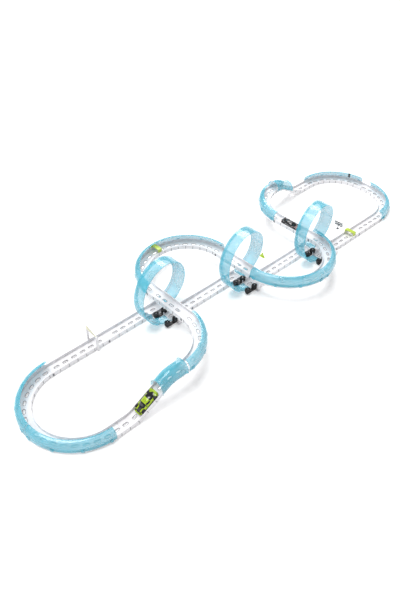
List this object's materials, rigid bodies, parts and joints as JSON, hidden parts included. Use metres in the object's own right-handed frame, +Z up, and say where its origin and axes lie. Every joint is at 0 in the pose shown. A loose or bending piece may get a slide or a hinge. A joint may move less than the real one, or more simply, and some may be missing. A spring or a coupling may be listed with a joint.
{
  "type": "loop race track set",
  "caption": "Toy race track: one closed lane of white track with clear blue vertical loops, roller boosters, raised crossings, curled guards, tunnels and free-rolling cars.",
  "frame": {"origin": "middle of the set's footprint, on the floor", "axes": "+X along the main straight from the left curve to the right curve, +Y towards the back, +Z up"},
  "size_m": [1.691, 0.5078, 0.2037],
  "materials": {
    "white_plastic": "satin",
    "clear_blue": "clear gloss",
    "rubber": "matte",
    "black_plastic": "satin",
    "grey_plastic": "satin",
    "lime_plastic": "gloss",
    "lime_paint": "gloss",
    "black_paint": "gloss",
    "steel": "satin",
    "cell": "satin"
  },
  "bodies": {
    "track": {"left_curve": "white_plastic", "start_straight": "white_plastic", "straight_1": "white_plastic", "straight_2": "white_plastic", "straight_3": "white_plastic", "right_curve": "white_plastic", "short_straights": "white_plastic", "ramp_up": "white_plastic", "ramp_down": "white_plastic", "curve_1": "white_plastic", "curve_2": "white_plastic", "curve_3": "white_plastic", "curve_4": "white_plastic", "bridge_1": "white_plastic", "bridge_2": "white_plastic", "bridge_3": "white_plastic", "left_guard": "clear_blue", "guard_1": "clear_blue", "guard_2": "clear_blue", "guard_3": "clear_blue", "guard_4": "clear_blue", "right_guard": "clear_blue", "tunnels": "clear_blue", "loop_1": "clear_blue", "loop_2": "clear_blue", "loop_3": "clear_blue", "bridge_posts": "white_plastic", "booster_1": "white_plastic", "booster_2": "white_plastic", "booster_3": "white_plastic", "roller_brackets": "black_plastic", "booster_motors": "steel", "batteries": "cell", "battery_doors": "grey_plastic", "start_gate": "white_plastic", "lap_gates": "lime_plastic", "marker_signs": "grey_plastic"},
    "roller_1a": {"roller_1a": "rubber"},
    "roller_1b": {"roller_1b": "rubber"},
    "roller_1c": {"roller_1c": "rubber"},
    "roller_1d": {"roller_1d": "rubber"},
    "roller_2a": {"roller_2a": "rubber"},
    "roller_2b": {"roller_2b": "rubber"},
    "roller_2c": {"roller_2c": "rubber"},
    "roller_2d": {"roller_2d": "rubber"},
    "roller_3a": {"roller_3a": "rubber"},
    "roller_3b": {"roller_3b": "rubber"},
    "roller_3c": {"roller_3c": "rubber"},
    "roller_3d": {"roller_3d": "rubber"},
    "power_switch_1": {"power_switch_1": "black_plastic"},
    "power_switch_2": {"power_switch_2": "black_plastic"},
    "power_switch_3": {"power_switch_3": "black_plastic"},
    "green_car": {"green_body": "lime_paint", "green_chassis": "grey_plastic"},
    "green_front_wheels": {"green_front_wheels": "rubber"},
    "green_rear_wheels": {"green_rear_wheels": "rubber"},
    "black_car": {"black_body": "black_paint", "black_chassis": "grey_plastic"},
    "black_front_wheels": {"black_front_wheels": "rubber"},
    "black_rear_wheels": {"black_rear_wheels": "rubber"}
  },
  "joints": [
    {"name": "roller_1a_spin", "type": "hinge", "parent": "track", "child": "roller_1a", "pos_m": [-0.2705, 0.0365, 0.01], "axis": [0, 0, 1], "continuous": true},
    {"name": "roller_1b_spin", "type": "hinge", "parent": "track", "child": "roller_1b", "pos_m": [-0.3025, 0.0365, 0.01], "axis": [0, 0, 1], "continuous": true},
    {"name": "roller_1c_spin", "type": "hinge", "parent": "track", "child": "roller_1c", "pos_m": [-0.2705, -0.0175, 0.01], "axis": [0, 0, 1], "continuous": true},
    {"name": "roller_1d_spin", "type": "hinge", "parent": "track", "child": "roller_1d", "pos_m": [-0.3025, -0.0175, 0.01], "axis": [0, 0, 1], "continuous": true},
    {"name": "roller_2a_spin", "type": "hinge", "parent": "track", "child": "roller_2a", "pos_m": [0.0255, -0.023, 0.01], "axis": [0, 0, 1], "continuous": true},
    {"name": "roller_2b_spin", "type": "hinge", "parent": "track", "child": "roller_2b", "pos_m": [-0.0065, -0.023, 0.01], "axis": [0, 0, 1], "continuous": true},
    {"name": "roller_2c_spin", "type": "hinge", "parent": "track", "child": "roller_2c", "pos_m": [0.0255, -0.077, 0.01], "axis": [0, 0, 1], "continuous": true},
    {"name": "roller_2d_spin", "type": "hinge", "parent": "track", "child": "roller_2d", "pos_m": [-0.0065, -0.077, 0.01], "axis": [0, 0, 1], "continuous": true},
    {"name": "roller_3a_spin", "type": "hinge", "parent": "track", "child": "roller_3a", "pos_m": [0.3215, -0.0825, 0.01], "axis": [0, 0, 1], "continuous": true},
    {"name": "roller_3b_spin", "type": "hinge", "parent": "track", "child": "roller_3b", "pos_m": [0.2895, -0.0825, 0.01], "axis": [0, 0, 1], "continuous": true},
    {"name": "roller_3c_spin", "type": "hinge", "parent": "track", "child": "roller_3c", "pos_m": [0.3215, -0.1365, 0.01], "axis": [0, 0, 1], "continuous": true},
    {"name": "roller_3d_spin", "type": "hinge", "parent": "track", "child": "roller_3d", "pos_m": [0.2895, -0.1365, 0.01], "axis": [0, 0, 1], "continuous": true},
    {"name": "power_switch_1_slide", "type": "slide", "parent": "track", "child": "power_switch_1", "axis": [1, 0, 0], "range_m": [0, 0.003]},
    {"name": "power_switch_2_slide", "type": "slide", "parent": "track", "child": "power_switch_2", "axis": [1, 0, 0], "range_m": [0, 0.003]},
    {"name": "power_switch_3_slide", "type": "slide", "parent": "track", "child": "power_switch_3", "axis": [1, 0, 0], "range_m": [0, 0.003]},
    {"name": "green_car_roll", "type": "slide", "parent": "track", "child": "green_car", "axis": [0.8829, 0, 0.4695], "range_m": [-0.003, 0.02]},
    {"name": "green_front_wheels_spin", "type": "hinge", "parent": "green_car", "child": "green_front_wheels", "pos_m": [-0.57822, -0.227, 0.02527], "axis": [0, 1, 0], "continuous": true},
    {"name": "green_rear_wheels_spin", "type": "hinge", "parent": "green_car", "child": "green_rear_wheels", "pos_m": [-0.5376, -0.227, 0.04686], "axis": [0, 1, 0], "continuous": true},
    {"name": "black_car_roll", "type": "slide", "parent": "track", "child": "black_car", "axis": [0, -1, 0], "range_m": [-0.015, 0.045]},
    {"name": "black_front_wheels_spin", "type": "hinge", "parent": "black_car", "child": "black_front_wheels", "pos_m": [0.3125, -0.004, 0.0759], "axis": [1, 0, 0], "continuous": true},
    {"name": "black_rear_wheels_spin", "type": "hinge", "parent": "black_car", "child": "black_rear_wheels", "pos_m": [0.3125, 0.042, 0.0759], "axis": [1, 0, 0], "continuous": true}
  ],
  "couplings": [
    {"joint": "roller_1b_spin", "follows": "roller_1a_spin", "ratio": 1},
    {"joint": "roller_1c_spin", "follows": "roller_1a_spin", "ratio": -1},
    {"joint": "roller_1d_spin", "follows": "roller_1a_spin", "ratio": -1},
    {"joint": "roller_2b_spin", "follows": "roller_2a_spin", "ratio": 1},
    {"joint": "roller_2c_spin", "follows": "roller_2a_spin", "ratio": -1},
    {"joint": "roller_2d_spin", "follows": "roller_2a_spin", "ratio": -1},
    {"joint": "roller_3b_spin", "follows": "roller_3a_spin", "ratio": 1},
    {"joint": "roller_3c_spin", "follows": "roller_3a_spin", "ratio": -1},
    {"joint": "roller_3d_spin", "follows": "roller_3a_spin", "ratio": -1},
    {"joint": "green_front_wheels_spin", "follows": "green_car_roll", "rad_per_m": 156.25},
    {"joint": "green_rear_wheels_spin", "follows": "green_car_roll", "rad_per_m": 156.25},
    {"joint": "black_front_wheels_spin", "follows": "black_car_roll", "rad_per_m": 156.25},
    {"joint": "black_rear_wheels_spin", "follows": "black_car_roll", "rad_per_m": 156.25}
  ]
}
